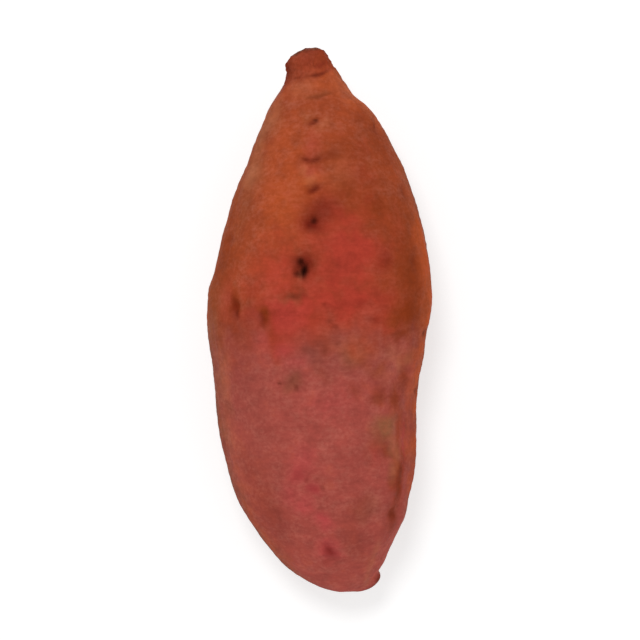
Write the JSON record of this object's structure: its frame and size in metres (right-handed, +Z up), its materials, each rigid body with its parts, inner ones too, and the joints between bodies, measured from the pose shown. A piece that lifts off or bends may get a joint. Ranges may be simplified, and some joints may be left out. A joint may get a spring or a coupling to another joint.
{
  "type": "sweet potato",
  "caption": "Whole red-skinned sweet potato lying on its side: a bent, tapering storage root with eyes, shallow furrows and a ridge, a dried stem stub and a root tip.",
  "frame": {"origin": "on the surface that the root rests on, under the middle of its box", "axes": "+Y along the root from the tip to the neck and its stem stub; +Z up, away from the flat on the belly; +X to the right"},
  "size_m": [0.0764, 0.1852, 0.0677],
  "materials": {
    "skin": "raw, dry, unpolished sweet potato skin, red to orange-brown, with fine wrinkles and dark eyes"
  },
  "bodies": {
    "root": {"sweet_potato": "skin"}
  },
  "joints": []
}
